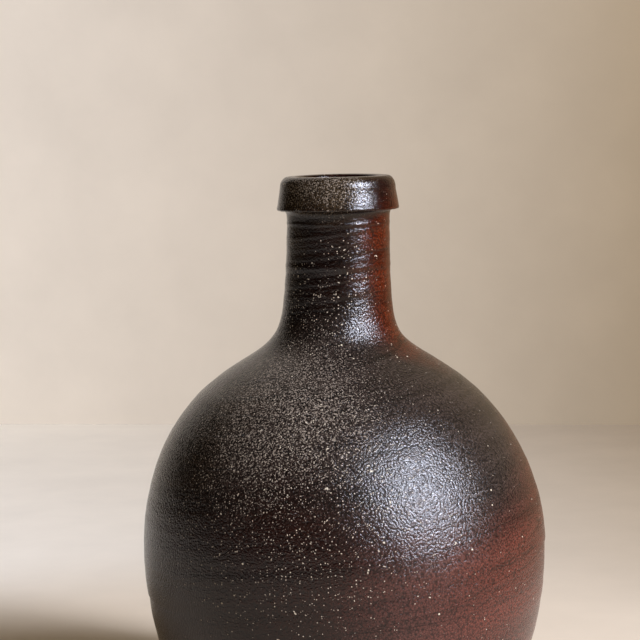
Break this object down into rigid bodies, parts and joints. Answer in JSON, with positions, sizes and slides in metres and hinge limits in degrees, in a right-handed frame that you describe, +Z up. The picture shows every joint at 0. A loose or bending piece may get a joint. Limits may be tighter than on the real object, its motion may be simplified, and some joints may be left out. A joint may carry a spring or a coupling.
{
  "type": "sake bottle",
  "caption": "Round-bodied, wood-fired stoneware bottle for storing and pouring sake, with a narrow neck and a turned-down collar round its open mouth.",
  "frame": {"origin": "centre of the base, on the ground it stands on", "axes": "+Z up along the neck, out of the mouth; +X towards the side where the belly seam is highest"},
  "size_m": [0.16, 0.16, 0.2318],
  "materials": {
    "ash_glazed_stoneware": "dark iron-brown stoneware with a thin natural ash glaze: satin, finely grained, flecked with pale ash",
    "bare_stoneware": "bare fired stoneware, matt and gritty"
  },
  "bodies": {
    "root": {"base_disc": "bare_stoneware", "lower_body": "ash_glazed_stoneware", "upper_body": "ash_glazed_stoneware", "neck": "ash_glazed_stoneware", "lip_collar": "ash_glazed_stoneware"}
  },
  "joints": []
}
